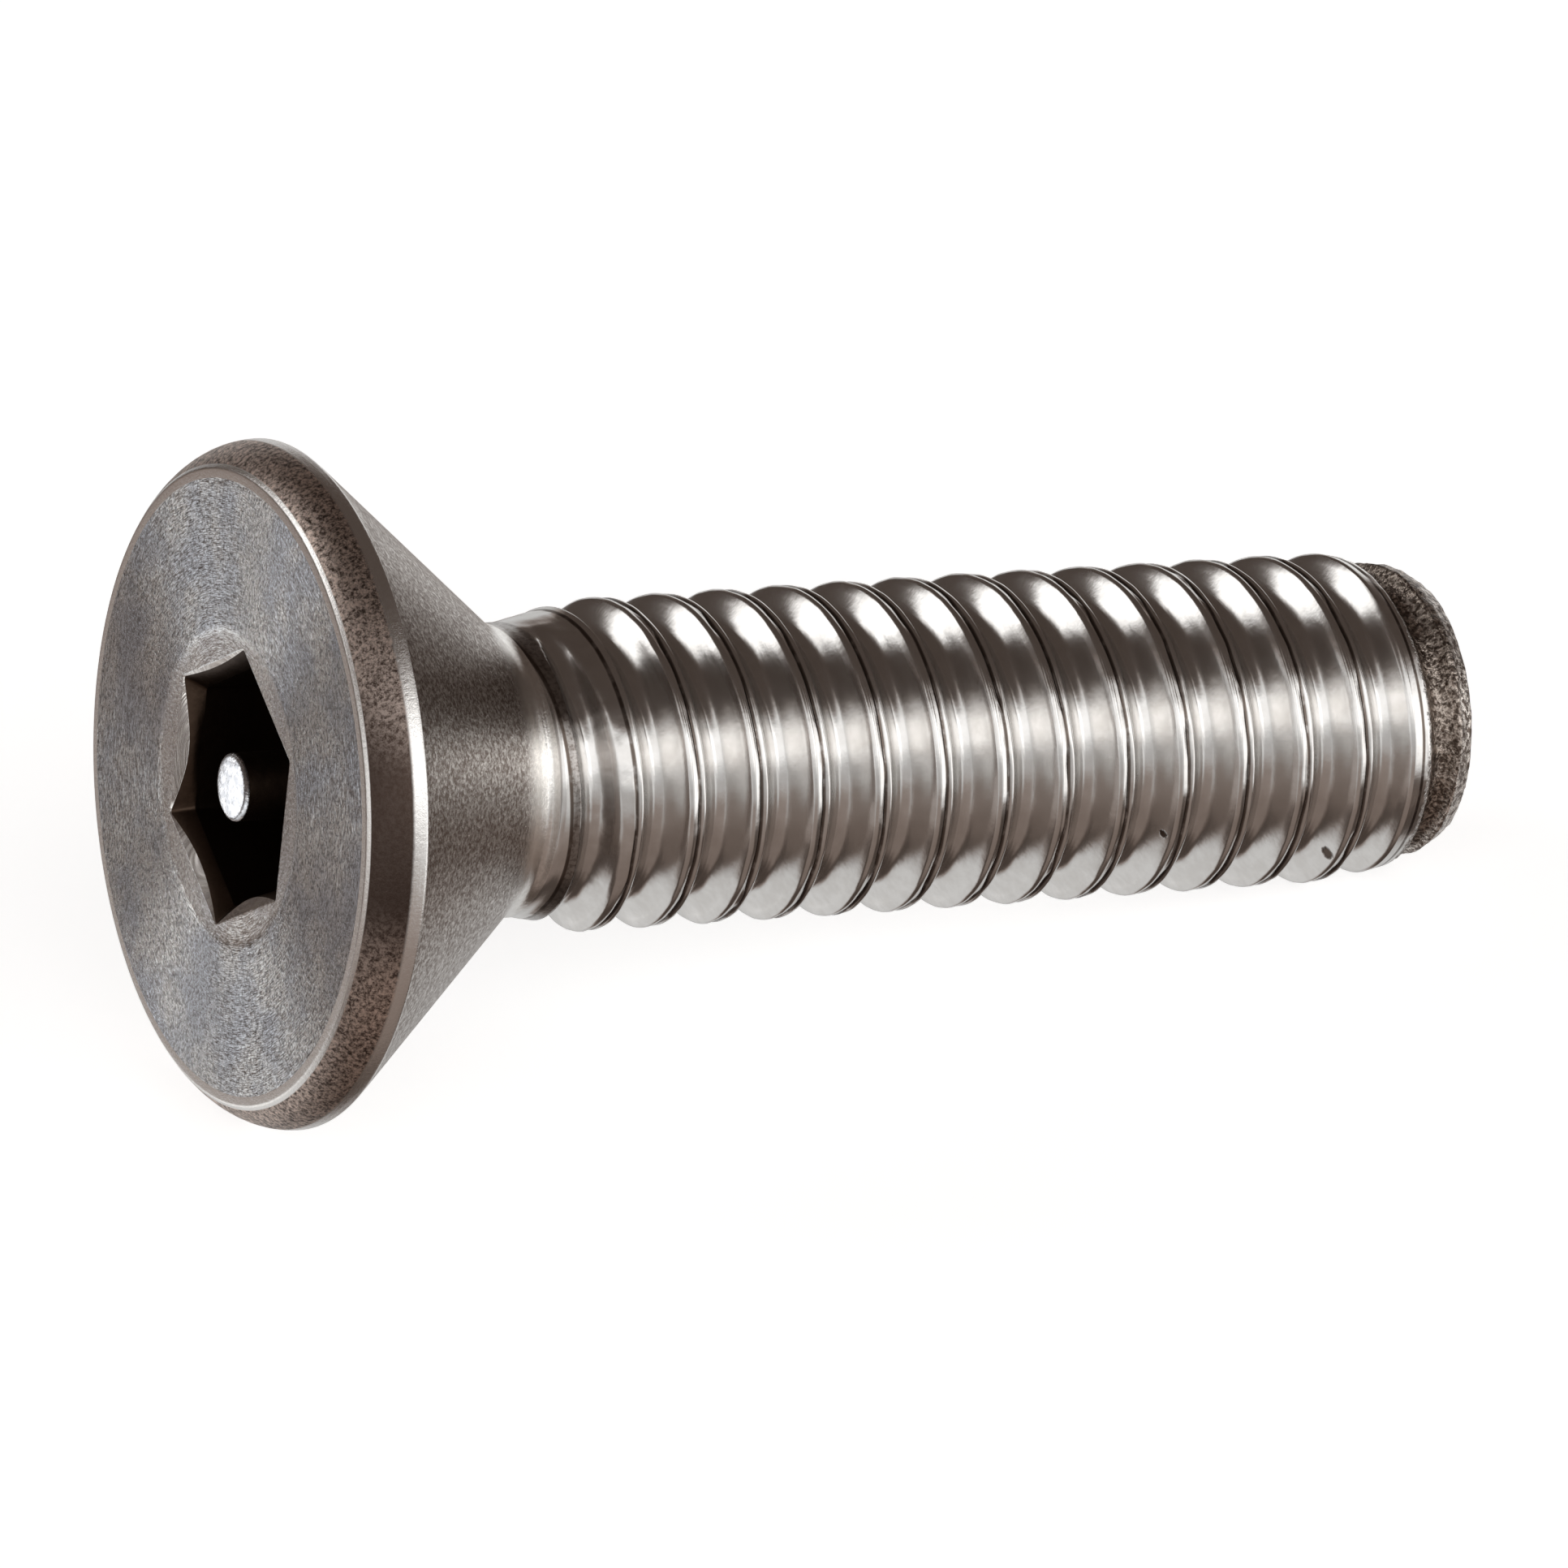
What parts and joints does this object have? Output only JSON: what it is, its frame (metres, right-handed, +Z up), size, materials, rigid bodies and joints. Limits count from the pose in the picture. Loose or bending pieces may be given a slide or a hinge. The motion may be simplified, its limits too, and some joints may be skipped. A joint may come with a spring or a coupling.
{
  "type": "countersunk socket screw",
  "caption": "Countersunk machine screw with a hexagon socket round a centre pin and a shank threaded up to the head, lying as it rests.",
  "frame": {"origin": "on the floor that the screw lies on, under the middle of its bounding box", "axes": "+X along the floor from the head towards the point, +Z up, +Y completing a right-handed frame; the screw's own axis lies in the XZ plane and dips 8.4 degrees towards the point"},
  "size_m": [0.0256, 0.0126, 0.0124],
  "materials": {
    "steel": "plain stainless steel: matt formed head, brighter rolled thread"
  },
  "bodies": {
    "root": {"socket_screw": "steel"}
  },
  "joints": []
}
